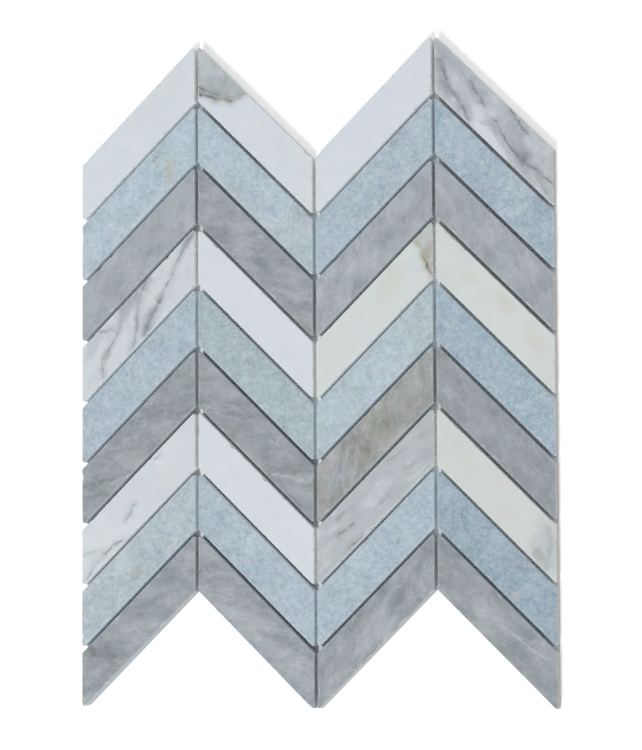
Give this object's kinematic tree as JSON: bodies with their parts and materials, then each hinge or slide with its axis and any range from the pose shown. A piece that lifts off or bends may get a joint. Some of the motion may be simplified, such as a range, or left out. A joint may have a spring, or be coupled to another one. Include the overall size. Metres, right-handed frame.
{
  "type": "chevron mosaic sheet",
  "caption": "Sheet of mitred marble strips in white, blue and grey zigzag rows, held a joint apart by a net on their backs, for tiling a wall.",
  "frame": {"origin": "middle of the net's underside", "axes": "+Z out of the polished face, +Y along the columns towards the chevrons' peaks, +X across the columns"},
  "size_m": [0.2888, 0.3972, 0.0105],
  "materials": {
    "white_marble": "honed, faint grey and golden veins",
    "blue_marble": "honed, fine crystals",
    "grey_marble": "honed, cloudy streaks",
    "fibreglass_net": "white glass net stiffened with glue"
  },
  "bodies": {
    "root": {"white_marble_row1_col1": "white_marble", "white_marble_row1_col2": "white_marble", "white_marble_row1_col3": "white_marble", "white_marble_row1_col4": "white_marble", "blue_marble_row2_col1": "blue_marble", "blue_marble_row2_col2": "blue_marble", "blue_marble_row2_col3": "blue_marble", "blue_marble_row2_col4": "blue_marble", "grey_marble_row3_col1": "grey_marble", "grey_marble_row3_col2": "grey_marble", "grey_marble_row3_col3": "grey_marble", "grey_marble_row3_col4": "grey_marble", "white_marble_row4_col1": "white_marble", "white_marble_row4_col2": "white_marble", "white_marble_row4_col3": "white_marble", "white_marble_row4_col4": "white_marble", "blue_marble_row5_col1": "blue_marble", "blue_marble_row5_col2": "blue_marble", "blue_marble_row5_col3": "blue_marble", "blue_marble_row5_col4": "blue_marble", "grey_marble_row6_col1": "grey_marble", "grey_marble_row6_col2": "grey_marble", "grey_marble_row6_col3": "grey_marble", "grey_marble_row6_col4": "grey_marble", "white_marble_row7_col1": "white_marble", "white_marble_row7_col2": "white_marble", "white_marble_row7_col3": "white_marble", "white_marble_row7_col4": "white_marble", "blue_marble_row8_col1": "blue_marble", "blue_marble_row8_col2": "blue_marble", "blue_marble_row8_col3": "blue_marble", "blue_marble_row8_col4": "blue_marble", "grey_marble_row9_col1": "grey_marble", "grey_marble_row9_col2": "grey_marble", "grey_marble_row9_col3": "grey_marble", "grey_marble_row9_col4": "grey_marble", "fibreglass_net": "fibreglass_net"}
  },
  "joints": []
}
